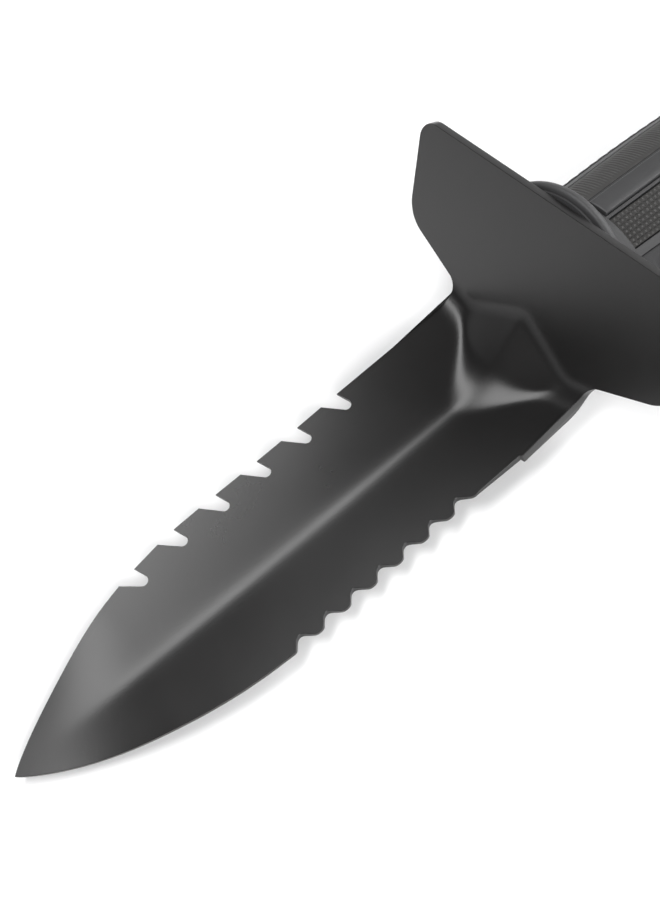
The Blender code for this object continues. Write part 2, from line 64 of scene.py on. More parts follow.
away = Vector((
    math.sin(AZIMUTH) * math.cos(ELEVATION),
    -math.cos(AZIMUTH) * math.cos(ELEVATION),
    math.sin(ELEVATION),
))
lens = bpy.data.cameras.new("camera")
lens.lens = 39.65
lens.sensor_width = 36.0
camera = bpy.data.objects.new("camera", lens)
bpy.context.scene.collection.objects.link(camera)
turn = away.to_track_quat("Z", "Y").to_matrix() @ Matrix.Rotation(ROLL, 3, "Z")
camera.matrix_world = Matrix.Translation(AIM + away * DISTANCE) @ turn.to_4x4()
bpy.context.scene.camera = camera
print("camera at", [round(v, 3) for v in camera.matrix_world.translation])

# %% [markdown]
# ## Floor and light
# A black satin coating shows its shape only by what it mirrors, so the light is planned by mirror
# directions. The crease and the flat point mirror what is a third of the way down on the left, and
# the left half of the blade mirrors what is nearly overhead. One long strip of light between those
# two directions makes the crease brightest and the left half grey. The right half mirrors the dim
# room lower down, so it stays nearly black. The guard leans back and mirrors the pale floor in
# front of it. Two fill lights, where the blade mirrors neither, keep the floor white.

# %% Floor
bm = bmesh.new()
bmesh.ops.create_grid(bm, x_segments=2, y_segments=2, size=3.0)
bmesh.ops.translate(bm, verts=bm.verts, vec=(0, 0, -0.05 * MM))
sheet = bpy.data.meshes.new("floor")
bm.to_mesh(sheet)
bm.free()
floor = bpy.data.objects.new("floor", sheet)
bpy.context.scene.collection.objects.link(floor)

paper = bpy.data.materials.new("pale_paper")
paper.use_nodes = True
paper_shader = paper.node_tree.nodes["Principled BSDF"]
paper_shader.inputs["Base Color"].default_value = (0.93, 0.93, 0.93, 1)
paper_shader.inputs["Roughness"].default_value = 0.9
paper_shader.inputs["Specular IOR Level"].default_value = 0.1
sheet.materials.append(paper)


# %% Soft boxes
def soft_box(name, towards, distance, wide, tall, watts):
    """An area light that faces the tool from a direction. Its width lies level."""
    light = bpy.data.lights.new(name, "AREA")
    light.shape = "RECTANGLE"
    light.size = wide
    light.size_y = tall
    light.energy = watts
    lamp = bpy.data.objects.new(name, light)
    bpy.context.scene.collection.objects.link(lamp)
    direction = Vector(towards).normalized()
    facing = direction.to_track_quat("Z", "Y").to_matrix().to_4x4()
    lamp.matrix_world = Matrix.Translation(direction * distance) @ facing


soft_box("long_strip", (-0.31, -0.17, 0.94), 1.5, 1.5, 0.50, 17.5)
soft_box("right_fill", (0.85, -0.10, 0.55), 1.6, 1.1, 1.1, 27)
soft_box("back_fill", (0.15, 1.0, 0.60), 1.6, 1.0, 1.0, 16)

# %% Room: pale near and below the horizon, dim above it
PALE, DIM, BACKDROP = (0.85, 0.85, 0.86, 1), (0.10, 0.10, 0.105, 1), (0.92, 0.92, 0.92, 1)
world = bpy.data.worlds.new("room")
bpy.context.scene.world = world
world.use_nodes = True
sky = world.node_tree
sky.nodes.clear()
where = sky.nodes.new("ShaderNodeTexCoord")
split = sky.nodes.new("ShaderNodeSeparateXYZ")
ramp = sky.nodes.new("ShaderNodeValToRGB")
ramp.color_ramp.elements[0].position = 0.20
ramp.color_ramp.elements[0].color = PALE
ramp.color_ramp.elements[1].position = 0.42
ramp.color_ramp.elements[1].color = DIM
room = sky.nodes.new("ShaderNodeBackground")
backdrop = sky.nodes.new("ShaderNodeBackground")
backdrop.inputs["Color"].default_value = BACKDROP
path = sky.nodes.new("ShaderNodeLightPath")
either = sky.nodes.new("ShaderNodeMixShader")
out = sky.nodes.new("ShaderNodeOutputWorld")
sky.links.new(where.outputs["Generated"], split.inputs[0])
sky.links.new(split.outputs["Z"], ramp.inputs[0])
sky.links.new(ramp.outputs["Color"], room.inputs["Color"])
sky.links.new(path.outputs["Is Camera Ray"], either.inputs[0])
sky.links.new(room.outputs[0], either.inputs[1])
sky.links.new(backdrop.outputs[0], either.inputs[2])
sky.links.new(either.outputs[0], out.inputs[0])
bpy.context.scene.view_settings.view_transform = "Standard"

# %% [markdown]
# ## Shared surface effects
# Three effects turn up in most finishes, so each is a node group that is built once: a fine grain
# with slow clouds of shade for moulded and coated surfaces, wear that lightens the edges which
# hands and soil rub, and drawn lines for turned or rolled metal. A group gives out only values that
# vary over the surface. Each material sets its own sizes and strengths.


# %% Node helpers
def add(tree, kind, sources=None, **settings):
    """Adds a node. sources maps an input's name or number to a value or another node's output."""
    made = tree.nodes.new(kind)
    for name, value in settings.items():
        setattr(made, name, value)
    for key, source in (sources or {}).items():
        if isinstance(source, bpy.types.NodeSocket):
            tree.links.new(source, made.inputs[key])
        else:
            made.inputs[key].default_value = source
    return made


def new_group(name, takes, gives):
    """An empty shader group: a Vector input, float inputs (label, default) and float outputs."""
    tree = bpy.data.node_groups.new(name, "ShaderNodeTree")
    tree.interface.new_socket("Vector", in_out="INPUT", socket_type="NodeSocketVector")
    for label, default in takes:
        socket = tree.interface.new_socket(label, in_out="INPUT", socket_type="NodeSocketFloat")
        socket.default_value = default
    for label in gives:
        tree.interface.new_socket(label, in_out="OUTPUT", socket_type="NodeSocketFloat")
    takes_in = tree.nodes.new("NodeGroupInput").outputs
    return tree, takes_in, tree.nodes.new("NodeGroupOutput").inputs


# %% Fine grain with slow clouds
grain, taken, given = new_group(
    "fine_grain", [("Scale", 1200.0), ("Cloud Scale", 30.0)], ["Height", "Clouds"]
)
pebbles = add(grain, "ShaderNodeTexVoronoi", {"Vector": taken["Vector"], "Scale": taken["Scale"]})
specks = add(
    grain, "ShaderNodeTexNoise", {"Vector": taken["Vector"], "Scale": taken["Scale"], "Detail": 3.0}
)
both = add(
    grain, "ShaderNodeMath", {0: pebbles.outputs["Distance"], 1: specks.outputs["Fac"]},
    operation="ADD",
)
clouds = add(
    grain, "ShaderNodeTexNoise",
    {"Vector": taken["Vector"], "Scale": taken["Cloud Scale"], "Detail": 5.0},
)
grain.links.new(both.outputs[0], given["Height"])
grain.links.new(clouds.outputs["Fac"], given["Clouds"])

# %% Wear on raised edges
wear, taken, given = new_group("edge_wear", [("Amount", 0.5), ("Scale", 260.0)], ["Mask"])
shape = add(wear, "ShaderNodeNewGeometry")
edge = add(
    wear, "ShaderNodeMapRange", {0: shape.outputs["Pointiness"], 1: 0.53, 2: 0.62, 3: 0.0, 4: 1.0}
)
rub = add(
    wear, "ShaderNodeTexNoise", {"Vector": taken["Vector"], "Scale": taken["Scale"], "Detail": 6.0}
)
patchy = add(wear, "ShaderNodeMapRange", {0: rub.outputs["Fac"], 1: 0.42, 2: 0.62, 3: 0.0, 4: 1.0})
rubbed = add(
    wear, "ShaderNodeMath", {0: edge.outputs[0], 1: patchy.outputs[0]}, operation="MULTIPLY"
)
worn = add(wear, "ShaderNodeMath", {0: rubbed.outputs[0], 1: taken["Amount"]}, operation="MULTIPLY")
wear.links.new(worn.outputs[0], given["Mask"])

# %% Drawn lines
drawn, taken, given = new_group("drawn_lines", [("Scale", 900.0)], ["Height"])
stretched = add(drawn, "ShaderNodeMapping", {"Vector": taken["Vector"], "Scale": (1.0, 0.06, 1.0)})
lines = add(
    drawn, "ShaderNodeTexNoise",
    {"Vector": stretched.outputs[0], "Scale": taken["Scale"], "Detail": 4.0, "Roughness": 0.6},
)
drawn.links.new(lines.outputs["Fac"], given["Height"])
print("effects:", [g.name for g in bpy.data.node_groups])


# %% [markdown]
# ## Finishes
# Every finish is one Principled shader. Clouds shift its colour and roughness a little, wear shows
# a rubbed colour on the edges, and the grain or the drawn lines feed a Bump node. The differences
# that matter on a black tool are small: the coating is smooth and nearly black, the moulded plastic
# is a little lighter and grainier, and the rubber is the dullest.


# %% One finish
def finish(name, colour, rough, grain_scale, relief, worn_colour=None, wear_amount=0.3,
           metallic=0.0, sheen=0.5, lines=False):
    """A material from the shared effects. relief is the bump's height in metres."""
    mat = bpy.data.materials.new(name)
    mat.use_nodes = True
    tree = mat.node_tree
    shader = tree.nodes["Principled BSDF"]
    shader.inputs["Metallic"].default_value = metallic
    shader.inputs["Specular IOR Level"].default_value = sheen
    spot = add(tree, "ShaderNodeTexCoord").outputs["Object"]
    grained = add(tree, "ShaderNodeGroup", node_tree=grain)
    grained.inputs["Scale"].default_value = grain_scale
    tree.links.new(spot, grained.inputs["Vector"])
    dark = tuple(c * 0.86 for c in colour) + (1,)
    light = tuple(c * 1.14 for c in colour) + (1,)
    shade = add(
        tree, "ShaderNodeMix", {0: grained.outputs["Clouds"], 6: dark, 7: light}, data_type="RGBA"
    ).outputs[2]
    rubbed = worn_colour or tuple(min(1.0, c * 2.2) for c in colour)
    edges = add(tree, "ShaderNodeGroup", node_tree=wear)
    edges.inputs["Amount"].default_value = wear_amount
    tree.links.new(spot, edges.inputs["Vector"])
    shade = add(
        tree, "ShaderNodeMix", {0: edges.outputs["Mask"], 6: shade, 7: (*rubbed, 1)},
        data_type="RGBA",
    ).outputs[2]
    tree.links.new(shade, shader.inputs["Base Color"])
    gloss = add(
        tree, "ShaderNodeMapRange", {0: grained.outputs["Clouds"], 3: rough - 0.05, 4: rough + 0.05}
    )
    tree.links.new(gloss.outputs[0], shader.inputs["Roughness"])
    height = grained.outputs["Height"]
    if lines:
        height = add(tree, "ShaderNodeGroup", {"Vector": spot}, node_tree=drawn).outputs["Height"]
    bump = add(tree, "ShaderNodeBump", {"Height": height, "Distance": relief, "Strength": 1.0})
    tree.links.new(bump.outputs[0], shader.inputs["Normal"])
    return mat


# %% The tool's nine finishes
BLACK_COAT = finish(
    "black_coating", (0.0062, 0.0058, 0.0057), 0.29, 1500, 0.005 * MM,
    worn_colour=(0.02, 0.02, 0.02),
)
MOULDED = finish("moulded_black", (0.034, 0.034, 0.035), 0.52, 2200, 0.02 * MM)
SMOOTH_BAR = finish("smooth_bar", (0.036, 0.036, 0.037), 0.44, 1800, 0.008 * MM)
CHECKERED = finish(
    "checkered_black", (0.033, 0.032, 0.031), 0.55, 3000, 0.012 * MM, wear_amount=0.6
)
RUBBER = finish("soft_rubber", (0.026, 0.026, 0.027), 0.72, 2600, 0.03 * MM, sheen=0.35)
METAL = {"metallic": 1.0, "lines": True}
STEEL = finish("turned_steel", (0.52, 0.52, 0.53), 0.3, 900, 0.004 * MM, **METAL)
TANG_STEEL = finish("rolled_steel", (0.36, 0.355, 0.35), 0.42, 700, 0.01 * MM, **METAL)
BRASS = finish("insert_brass", (0.62, 0.44, 0.19), 0.34, 900, 0.006 * MM, **METAL)
WELD = finish(
    "weld_bead", (0.09, 0.085, 0.08), 0.5, 600, 0.12 * MM, worn_colour=(0.2, 0.19, 0.18),
    metallic=0.8,
)
print("finishes:", len(bpy.data.materials))


# %% [markdown]
# ## Making a piece
# A finished piece keeps its place in its mesh, so its object stays at the origin. `finished` closes
# the mesh, turns its faces outwards, shades it smooth with sharp folds, and says which CAD node it
# stands for. `carved` cuts one bmesh with others by Boolean modifiers and reads the result back.


# %% Piece helpers
def finished(node, bm, mat, sharp=38):
    """Turns a bmesh into the visible piece for a CAD node."""
    bmesh.ops.remove_doubles(bm, verts=bm.verts, dist=0.0005 * MM)
    bmesh.ops.recalc_face_normals(bm, faces=bm.faces)
    mesh = bpy.data.meshes.new(node + "_fine")
    bm.to_mesh(mesh)
    bm.free()
    mesh.materials.append(mat)
    mesh.shade_smooth()
    mesh.set_sharp_from_angle(angle=math.radians(sharp))
    piece = bpy.data.objects.new(node + "_fine", mesh)
    bpy.context.scene.collection.objects.link(piece)
    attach(piece, "root")
    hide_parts(node)
    print(f"{piece.name}: {len(mesh.polygons)} faces")
    return piece


def as_tool(bm):
    mesh = bpy.data.meshes.new("tool")
    bmesh.ops.recalc_face_normals(bm, faces=bm.faces)
    bm.to_mesh(mesh)
    bm.free()
    made = bpy.data.objects.new("tool", mesh)
    bpy.context.scene.collection.objects.link(made)
    return made


def carved(bm, cutters, operation="DIFFERENCE"):
    """The bmesh after each cutter, also a bmesh, has been taken out of it or kept in common."""
    body = as_tool(bm)
    tools = [as_tool(cutter) for cutter in cutters]
    for cutter in tools:
        step = body.modifiers.new("cut", "BOOLEAN")
        step.operation = operation
        step.solver = "EXACT"
        step.object = cutter
    result = bmesh.new()
    result.from_object(body, bpy.context.evaluated_depsgraph_get())
    for made in [body] + tools:
        bpy.data.objects.remove(made, do_unlink=True)
    return result


def halved(bm, point, normal):
    """Cuts off what lies beyond a plane and closes the cut."""
    cut = bmesh.ops.bisect_plane(
        bm, geom=bm.verts[:] + bm.edges[:] + bm.faces[:], plane_co=point, plane_no=normal,
        clear_outer=True,
    )
    rim = [g for g in cut["geom_cut"] if isinstance(g, bmesh.types.BMEdge)]
    bmesh.ops.holes_fill(bm, edges=rim)
    return bm


def rounded_edges(bm, edges, width, segments=3):
    bmesh.ops.bevel(
        bm, geom=edges, offset=width, offset_type="OFFSET", segments=segments, profile=0.5,
        affect="EDGES", clamp_overlap=True, material=-1,
    )


def rod(radius, start, end, sides=48):
    """A closed cylinder between two points."""
    bm = bmesh.new()
    axis = Vector(end) - Vector(start)
    along = axis.to_track_quat("Z", "Y").to_matrix().to_4x4()
    bmesh.ops.create_cone(
        bm, cap_ends=True, segments=sides, radius1=radius, radius2=radius, depth=axis.length,
        matrix=Matrix.Translation((Vector(start) + Vector(end)) / 2) @ along,
    )
    return bm


def block(low, high):
    """A closed box between two corners."""
    bm = bmesh.new()
    bmesh.ops.create_cube(bm, size=1.0)
    low, high = Vector(low), Vector(high)
    for vert in bm.verts:
        vert.co = Vector((low[i] + (high[i] - low[i]) * (vert.co[i] + 0.5) for i in range(3)))
    return bm


# %% [markdown]
# ## The plate's flat blank
# The real blank is cut from sheet and then pressed, and the mesh is made the same way. Across and
# along the blank are the two directions of a grid. Its outline has six saw teeth on the left, seven
# waves on the right, a curved point, a neck, and the guard's two wings. The values are the CAD
# part's own, with more steps round each curve.

# %% The blank's sizes
PLATE = 3.0 * MM
GROUND = 1.0 * MM
GRIND = 8.0 * MM
GRIND_END = 163.0 * MM
HALF_WIDTH = 27.6 * MM
OGIVE = 84.0 * MM
SAW_SIDE_WIDTH = 27.3 * MM
STEP_WIDTH = 27.8 * MM
BLANK_WIDTH = 28.5 * MM
NECK_WIDTH = 27.6 * MM
BEND = 185.5 * MM
VEE_BLADE = 0.170
VEE_NECK = 0.271
CREASE_SOFT = 2.2 * MM
LEAN = math.radians(22.6)
GUARD_TOP = 55.6 * MM
GUARD_TOP_HALF = 54.7 * MM
GUARD_LOW_HALF = 52.2 * MM
GUARD_LOW = 23.4 * MM
GUARD_NECK = 11.9 * MM
SAW_COUNT, SAW_PITCH, SAW_LAST = 6, 16.1 * MM, 139.8 * MM
SAW_MOUTH, SAW_FLOOR, SAW_DEPTH = 6.4 * MM, 1.75 * MM, 6.05 * MM
WAVE_COUNT, WAVE_PITCH, WAVE_LAST, WAVE_DEPTH = 7, 9.7 * MM, 137.6 * MM, 3.9 * MM
TIP_Y = -161.0 * MM


# %% Curves of the blade's edge
def ogive(s):
    return HALF_WIDTH * (1 - (1 - s / OGIVE) ** 2) ** 0.9


def edge_at(s):
    """Half width of the ground blade at a distance from the point."""
    if s < OGIVE:
        return ogive(s)
    past = min(1.0, max(0.0, (s - SAW_LAST) / (GRIND_END - SAW_LAST)))
    return HALF_WIDTH + (STEP_WIDTH - HALF_WIDTH) * past


def tip_curve(end, steps=34):
    rows = [end * ((i + 0.45) / (steps + 0.45)) ** 1.5 for i in range(steps)]
    return [(ogive(s), s) for s in rows]


def softened(path, rounds=2):
    """Cuts each corner of a path at a quarter and three quarters of its sides."""
    for _ in range(rounds):
        cut = [path[0]]
        for a, b in zip(path, path[1:]):
            cut += [(a[0] * 0.75 + b[0] * 0.25, a[1] * 0.75 + b[1] * 0.25)]
            cut += [(a[0] * 0.25 + b[0] * 0.75, a[1] * 0.25 + b[1] * 0.75)]
        path = cut + [path[-1]]
    return path


# %% Teeth
def gullet(point):
    """A ramp in, a round floor, and the undercut face of the tooth."""
    side = edge_at(point)
    path = [(edge_at(point - SAW_MOUTH), point - SAW_MOUTH)]
    centre = (side - SAW_DEPTH + SAW_FLOOR, point - 0.2 * MM)
    for degrees in range(135, -16, -10):
        angle = math.radians(degrees)
        sideways = centre[0] - SAW_FLOOR * math.sin(angle)
        path.append((sideways, centre[1] + SAW_FLOOR * math.cos(angle)))
    return path + [(side, point)]


def wave(point):
    """One rounded notch behind a crest, as (share of the pitch, share of the depth)."""
    profile = (
        (0.05, 0.10), (0.16, 0.50), (0.28, 0.90), (0.40, 1.00),
        (0.51, 0.86), (0.66, 0.42), (0.80, 0.08),
    )
    outer = HALF_WIDTH + 0.3 * MM
    return [(outer - WAVE_DEPTH * deep, point + WAVE_PITCH * along) for along, deep in profile]


def saw_side():
    first = SAW_LAST - (SAW_COUNT - 1) * SAW_PITCH
    path = tip_curve(first - SAW_MOUTH)
    for k in range(SAW_COUNT):
        path += gullet(first + k * SAW_PITCH)
    return path + [(SAW_SIDE_WIDTH, GRIND_END)]


def wave_side():
    first = WAVE_LAST - (WAVE_COUNT - 1) * WAVE_PITCH
    teeth = [(HALF_WIDTH, first - 0.4 * MM)]
    for k in range(WAVE_COUNT):
        teeth += wave(first + k * WAVE_PITCH)
    teeth = softened(teeth + [(HALF_WIDTH, WAVE_LAST + WAVE_PITCH)])
    small_step = [(STEP_WIDTH, GRIND_END), (BLANK_WIDTH, GRIND_END + 0.5 * MM)]
    return tip_curve(first - 0.6 * MM) + teeth + small_step


# %% The guard's outline
def soft_ramp(x, soft):
    """0 below, x above, and a smooth turn of half width soft between."""
    if x <= -soft:
        return 0.0
    if x >= soft:
        return x
    return (x + soft) ** 2 / (4 * soft)


def soft_abs(x, soft):
    return math.hypot(x, soft) - soft


def bend_height(across):
    """How far up the guard's plane the bend lies, because the blade is a vee there."""
    return VEE_NECK * soft_abs(min(abs(across), 30 * MM), CREASE_SOFT) / math.cos(LEAN)


def flat_from_guard(across, up):
    """Where a point of the guard lies on the flat blank."""
    base = bend_height(across)
    return (across, BEND + base * math.sin(LEAN) + up - base)


def arc_corners(corners, steps=12):
    """Corner points (across, along, radius) as a path whose corners are arcs."""
    path = []
    for i, (x, y, radius) in enumerate(corners):
        if radius == 0:
            path.append((x, y))
            continue
        here = Vector((x, y))
        back = (Vector(corners[i - 1][:2]) - here).normalized()
        on = (Vector(corners[(i + 1) % len(corners)][:2]) - here).normalized()
        half = back.angle(on) / 2
        reach = radius / math.tan(half)
        centre = here + (back + on).normalized() * (radius / math.sin(half))
        start, end = here + back * reach - centre, here + on * reach - centre
        for j in range(steps + 1):
            path.append(tuple(centre + start.lerp(end, j / steps).normalized() * radius))
    return path


def guard_side():
    neck = flat_from_guard(NECK_WIDTH, GUARD_NECK)
    low = flat_from_guard(GUARD_LOW_HALF, GUARD_LOW)
    top = flat_from_guard(GUARD_TOP_HALF, GUARD_TOP)
    start = (NECK_WIDTH, GRIND_END + 1 * MM, 0)
    corners = [start, (*neck, 5.5 * MM), (*low, 11 * MM), (*top, 5.5 * MM), (0, top[1], 0)]
    middle = [flat_from_guard(x * MM, GUARD_TOP) for x in range(30, 0, -2)]
    return arc_corners(corners)[1:-1] + middle


def outline():
    guard = guard_side()
    left = [(-x, y) for x, y in saw_side() + guard]
    return [(0, 0)] + wave_side() + guard + [flat_from_guard(0, GUARD_TOP)] + left[::-1]


print("outline points:", len(outline()))

# %% [markdown]
# ## Cutting the blank
# A slab of grid cells is kept only inside the outline. The outline's prism narrows just above and
# below the slab, so the Boolean leaves a fine chamfer along every edge, as tumbling leaves on a
# stamped part. The grid is closer round the bend, where the press works hardest.

# %% Slab and outline
CHAMFER = 0.1 * MM
CHAMFER_DEPTH = 0.07        # of the plate's thickness
PAST = 0.25                 # how far the prism stands out, in chamfer depths


def grid_rows():
    """Distances of the grid lines across and along the blank."""
    across = [1.25 * MM * i for i in range(-45, 46)]
    along = [-1.5 * MM + 1.7 * MM * i for i in range(88)]
    along += [148.5 * MM + 0.95 * MM * i for i in range(62)]
    along += [208.0 * MM + 1.9 * MM * i for i in range(20)]
    return across, along


def slab():
    across, along = grid_rows()
    bm = bmesh.new()
    bmesh.ops.create_grid(bm, x_segments=len(across) - 1, y_segments=len(along) - 1, size=1.0)
    for vert in bm.verts:
        column = round((vert.co.x + 1) / 2 * (len(across) - 1))
        row = round((vert.co.y + 1) / 2 * (len(along) - 1))
        vert.co = Vector((across[column], along[row], 0))
    made = bmesh.ops.extrude_face_region(bm, geom=bm.faces[:])
    low = [g for g in made["geom"] if isinstance(g, bmesh.types.BMVert)]
    bmesh.ops.translate(bm, verts=low, vec=(0, 0, -1))
    return bm


def inward_steps(points):
    """The unit step into the material at each corner of the outline."""
    steps = []
    for i in range(len(points)):
        along = points[(i + 1) % len(points)] - points[i - 1]
        steps.append(Vector((-along.y, along.x, 0)).normalized())
    return steps


def outline_prism():
    """The outline extruded past both faces of the slab, and narrower there by the chamfer."""
    points = [Vector((x, y, 0)) for x, y in outline()]
    steps = inward_steps(points)
    bm = bmesh.new()
    corner = bm.verts.layers.int.new("corner")
    cap = [bm.faces.new([bm.verts.new(p) for p in points])]
    for i, vert in enumerate(cap[0].verts):
        vert[corner] = i
    rings = [bm.verts[:]]
    for level in range(3):
        made = bmesh.ops.extrude_face_region(bm, geom=cap)
        if level:
            bmesh.ops.delete(bm, geom=cap, context="FACES_ONLY")
        cap = [g for g in made["geom"] if isinstance(g, bmesh.types.BMFace)]
        rings.append([g for g in made["geom"] if isinstance(g, bmesh.types.BMVert)])
    levels = [PAST * CHAMFER_DEPTH, -CHAMFER_DEPTH, CHAMFER_DEPTH - 1, -1 - PAST * CHAMFER_DEPTH]
    for ring, level in zip(rings, levels):
        narrow = CHAMFER * (1 + PAST) if level > 0 or level < -1 else 0.0
        for vert in ring:
            vert.co = points[vert[corner]] + steps[vert[corner]] * narrow
            vert.co.z = level
    return bm


blank = carved(slab(), [outline_prism()], "INTERSECT")
print("blank faces:", len(blank.faces))

# %% [markdown]
# ## Pressing the plate
# The press does three things: it folds the blade into a shallow vee that dies out at the point,
# bends the guard up across it, and sets a dart into the bend. The dart is two facets that meet in
# a soft ridge on the middle line, with a round foot, and it keeps the bend from opening. Moving
# each vertex by a rule of where it lies on the blank gives all of this at once. The underside is
# the same surface offset by the thickness, which falls to a thin ground edge.

# %% The press
TIP_LIFT = 1.2 * MM
LIFT_LENGTH = 100 * MM
TIP_FLAT = 10 * MM          # the vee starts here
VEE_FULL = 46 * MM          # and has its steady slope from here
VEE_STEEPER = 105 * MM      # it gets steeper from here to the bend
DART_REACH = 13.5 * MM      # along the blade, on the middle line
DART_RISE = 19.0 * MM       # up the guard, on the middle line
DART_SPREAD = 1.15          # half width gained per unit of reach
DART_SHOULDER = 0.78        # rise lost per unit of half width
DART_RIDGE = 0.8 * MM       # how soft the ridge is
DART_SOFT = 2.0 * MM        # how softly the dart runs out into the plain bend
DART_TOE = 9.0 * MM         # how round the dart's foot is, seen from above
DART_FOOT = 8.0 * MM        # extra rounding at the foot, on the middle line
DART_HALF = 17.0 * MM       # half width over which that rounding fades
BEND_SETBACK = 3.6 * MM     # outside the dart
BEND_SOFT = 3.0 * MM


def smooth(x):
    x = min(1.0, max(0.0, x))
    return x * x * (3 - 2 * x)


def vee_slope(s):
    tip = smooth((s - TIP_FLAT) / (VEE_FULL - TIP_FLAT))
    neck = smooth((s - VEE_STEEPER) / (BEND - VEE_STEEPER))
    return VEE_BLADE * tip + (VEE_NECK - VEE_BLADE) * neck


def dart_setbacks(across):
    """Where the bend starts and ends, before and after its line: far apart on the middle line."""
    reach = DART_REACH - soft_abs(across, DART_TOE) / DART_SPREAD
    rise = DART_RISE - soft_abs(across, DART_RIDGE) * DART_SHOULDER
    return (
        BEND_SETBACK + soft_ramp(reach - BEND_SETBACK, DART_SOFT),
        BEND_SETBACK + soft_ramp(rise - BEND_SETBACK, DART_SOFT),
    )


def upper_face(across, s):
    line = BEND + bend_height(across) * math.sin(LEAN)
    height = vee_slope(min(s, line)) * soft_abs(min(abs(across), 30 * MM), CREASE_SOFT)
    lift = TIP_LIFT * (1 - smooth(s / LIFT_LENGTH))
    before, after = dart_setbacks(across)
    along = s - line
    guard = Vector((math.sin(LEAN), math.cos(LEAN)))
    chord = (guard * after + Vector((before, 0))) / (before + after)
    foot = BEND_SOFT + DART_FOOT * (1 - smooth(abs(across) / DART_HALF))
    bent = (chord - Vector((1, 0))) * soft_ramp(along + before, foot)
    bent += (guard - chord) * soft_ramp(along - after, BEND_SOFT)
    return Vector((across, line + along + bent.x, height + lift + bent.y))


def thickness(across, s):
    ground = min(1.0, max(0.0, (abs(across) - edge_at(s) + GRIND) / GRIND))
    run_out = 1 - smooth((s - GRIND_END + 0.6 * MM) / (1.2 * MM))
    return PLATE - (PLATE - GROUND) * ground * run_out


def press(bm):
    step = 0.1 * MM
    for vert in bm.verts:
        across, s, layer = vert.co
        du = upper_face(across + step, s) - upper_face(across - step, s)
        ds = upper_face(across, s + step) - upper_face(across, s - step)
        normal = du.cross(ds).normalized()
        vert.co = upper_face(across, s) + normal * (layer * thickness(across, s))
    bmesh.ops.translate(bm, verts=bm.verts, vec=(0, TIP_Y, PLATE))


press(blank)
plate = finished("blade_and_guard", blank, BLACK_COAT, sharp=32)
weighted = plate.modifiers.new("even_normals", "WEIGHTED_NORMAL")
weighted.keep_sharp = True
weighted.weight = 80

# %% [markdown]
# ## Where the grip's pieces go
# Two frames carry everything behind the plate. One lies in the guard's plane, for the collar and
# its gasket. The other runs along the grip's axis, which falls a little towards the butt. Pieces
# are modelled in one of them and moved by its matrix at the end.

# %% The two frames
GAP = 0.3 * MM
DROOP = math.atan(0.11)
GRIP_Y, GRIP_Z = 203.0 * MM, 25.3 * MM
GRIP_A, GRIP_B = 21.3 * MM, 15.0 * MM
GRIP_END, BUTT_END = 101.0 * MM, 118.0 * MM
guard_tilt = Matrix.Rotation(math.pi / 2 - LEAN, 4, "X")
guard_frame = Matrix.Translation((0, TIP_Y + BEND, PLATE)) @ guard_tilt
grip_tilt = Matrix.Rotation(-DROOP, 4, "X")
grip_frame = Matrix.Translation((0, TIP_Y + GRIP_Y, PLATE + GRIP_Z)) @ grip_tilt


def moved(bm, frame_matrix):
    bmesh.ops.transform(bm, matrix=frame_matrix, verts=bm.verts)
    return bm


def behind_guard(offset):
    """A plane behind the guard's front face, in the grip's frame: a point and the way forward."""
    move = grip_frame.inverted() @ guard_frame
    return move @ Vector((0, 0, -offset)), move.to_3x3() @ Vector((0, 0, 1))


# %% [markdown]
# ## Collar and gasket
# The collar is a round moulded plate that stops the hand, with a flat at its lower edge and a
# rounded rim. A soft gasket under it seals it to the guard. A disc, one flat cut, a window for the
# tang and a bevel on the rim make each.

# %% Collar and gasket
COLLAR_RADIUS, COLLAR_UP, COLLAR_CHORD = 27.8 * MM, 30.4 * MM, 5.0 * MM
COLLAR, GASKET, TANG_HALF, TANG = 3.0 * MM, 0.8 * MM, 9.0 * MM, 5.0 * MM
WINDOW_HALF, WINDOW_BELOW, WINDOW_ABOVE = 10.2 * MM, 12 * MM, 9 * MM


def disc(radius, front, back, rim):
    bm = rod(radius, (0, COLLAR_UP, -back), (0, COLLAR_UP, -front), 180)
    halved(bm, Vector((0, COLLAR_UP - COLLAR_RADIUS + COLLAR_CHORD, 0)), Vector((0, -1, 0)))
    bm.normal_update()
    border = [e for e in bm.edges if e.is_manifold and e.calc_face_angle() > math.radians(60)]
    rounded_edges(bm, border, rim, 5)
    middle = guard_frame.inverted() @ (grip_frame @ Vector((0, 4 * MM, 1 * MM)))
    window = block(
        (-WINDOW_HALF, middle.y - WINDOW_BELOW, -30 * MM),
        (WINDOW_HALF, middle.y + WINDOW_ABOVE, 5 * MM),
    )
    return moved(carved(bm, [window]), guard_frame)


front = PLATE + GAP
gasket = disc(COLLAR_RADIUS - 1.6 * MM, front, front + GASKET, 0.2 * MM)
finished("collar_gasket", gasket, RUBBER)
front += GASKET + GAP
flange = disc(COLLAR_RADIUS, front, front + COLLAR, 1.1 * MM)
finished("collar_flange", flange, MOULDED)

# %% [markdown]
# ## The grip's skin
# The grip is an oval that swells a little for the palm. Everything let into it follows that skin,
# so one function gives the skin's points from an angle round the crown and a distance along the
# axis. Each let-in piece is first modelled flat, as a slab with its true size, its rounded edges
# and its pattern, and then wrapped onto the skin.


# %% Skin and wrapping
def swell(y):
    return 1 + 0.035 * math.sin((y - 20 * MM) / (42 * MM) * math.pi / 1.6) - 0.01


def skin(angle, y, lift=0.0):
    size = swell(y)
    return Vector((
        (GRIP_A * size + lift) * math.sin(angle), y, (GRIP_B * size + lift) * math.cos(angle)
    ))


